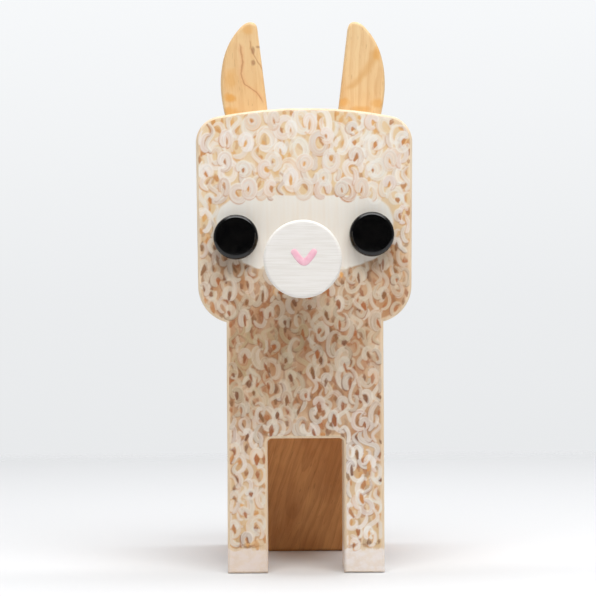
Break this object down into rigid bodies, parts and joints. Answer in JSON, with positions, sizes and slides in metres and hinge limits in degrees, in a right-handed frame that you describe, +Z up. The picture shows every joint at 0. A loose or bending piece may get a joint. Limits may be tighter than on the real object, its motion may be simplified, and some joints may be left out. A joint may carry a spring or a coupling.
{
  "type": "eyeglasses stand",
  "caption": "Free-standing wooden alpaca that holds a folded pair of eyeglasses by the bridge, on a peg behind its round nose.",
  "frame": {"origin": "on the surface the stand rests on, under the middle of its overall width and depth", "axes": "+Z up; -Y is the way the face looks; +X is to the right of a viewer who faces the stand"},
  "size_m": [0.0574, 0.0888, 0.1483],
  "materials": {
    "painted_wood": "light wood with hand-painted off-white curls over brown dabs, satin",
    "natural_wood": "clear satin",
    "ear_wood": "figured light wood, clear satin",
    "dowel_wood": "bare",
    "white_paint": "off-white paint over wood, satin",
    "black_gloss": "high gloss"
  },
  "bodies": {
    "root": {"front_board": "painted_wood", "body_block": "natural_wood", "rear_board": "natural_wood", "front_dowel_left": "dowel_wood", "front_dowel_right": "dowel_wood", "rear_dowel_left": "dowel_wood", "rear_dowel_right": "dowel_wood", "ear_left": "ear_wood", "ear_right": "ear_wood", "ear_pin_left": "dowel_wood", "ear_pin_right": "dowel_wood", "eye_left": "black_gloss", "eye_right": "black_gloss", "nose_peg": "dowel_wood", "nose_disc": "white_paint"}
  },
  "joints": []
}
